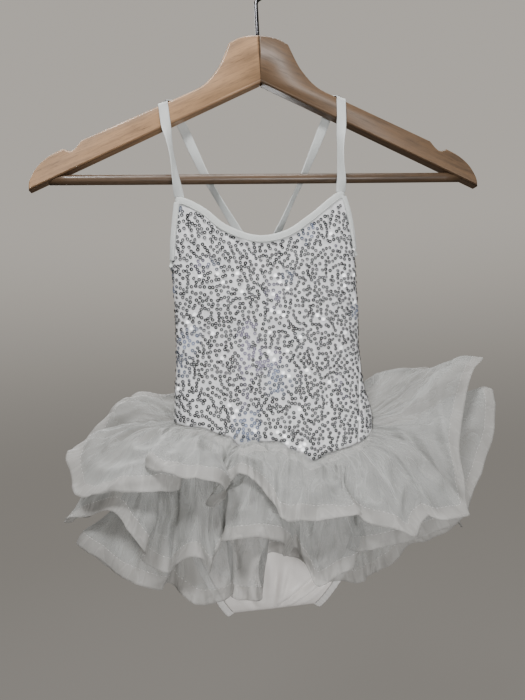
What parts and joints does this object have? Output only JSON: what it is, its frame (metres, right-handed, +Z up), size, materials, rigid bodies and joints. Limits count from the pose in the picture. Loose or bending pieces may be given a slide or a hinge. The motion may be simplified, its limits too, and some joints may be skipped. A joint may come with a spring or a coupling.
{
  "type": "ballet dress on a wooden hanger",
  "caption": "Sleeveless ballet dress with crossed elastic straps, a sequinned bodice, a layered organza skirt and a brief, hanging flat on a wooden hanger with a bar.",
  "frame": {"origin": "inside of the hook's bend, at its top, where the rail bears", "axes": "+Z up, -Y towards the front of the dress, +X to the right as seen from the front"},
  "size_m": [0.462, 0.1702, 0.6539],
  "materials": {
    "hanger_wood": "satin lacquer",
    "hook_chrome": "polished",
    "sequinned_jersey": "stretch jersey sewn over with small cup sequins",
    "binding": "folded stretch binding",
    "elastic": "woven elastic",
    "organza": "sheer stiff organza",
    "brief_satin": "satin jersey"
  },
  "bodies": {
    "root": {"hanger_arm_left": "hanger_wood", "hanger_arm_right": "hanger_wood", "hanger_bar": "hanger_wood", "hanger_hook": "hook_chrome", "bodice_front": "sequinned_jersey", "bodice_back": "sequinned_jersey", "neck_binding": "binding", "back_binding": "binding", "armhole_binding_left": "binding", "armhole_binding_right": "binding", "strap_left": "elastic", "strap_right": "elastic", "skirt_top": "organza", "skirt_middle": "organza", "skirt_bottom": "organza", "brief_front": "brief_satin", "brief_back": "brief_satin", "leg_elastic_left": "elastic", "leg_elastic_right": "elastic"}
  },
  "joints": []
}
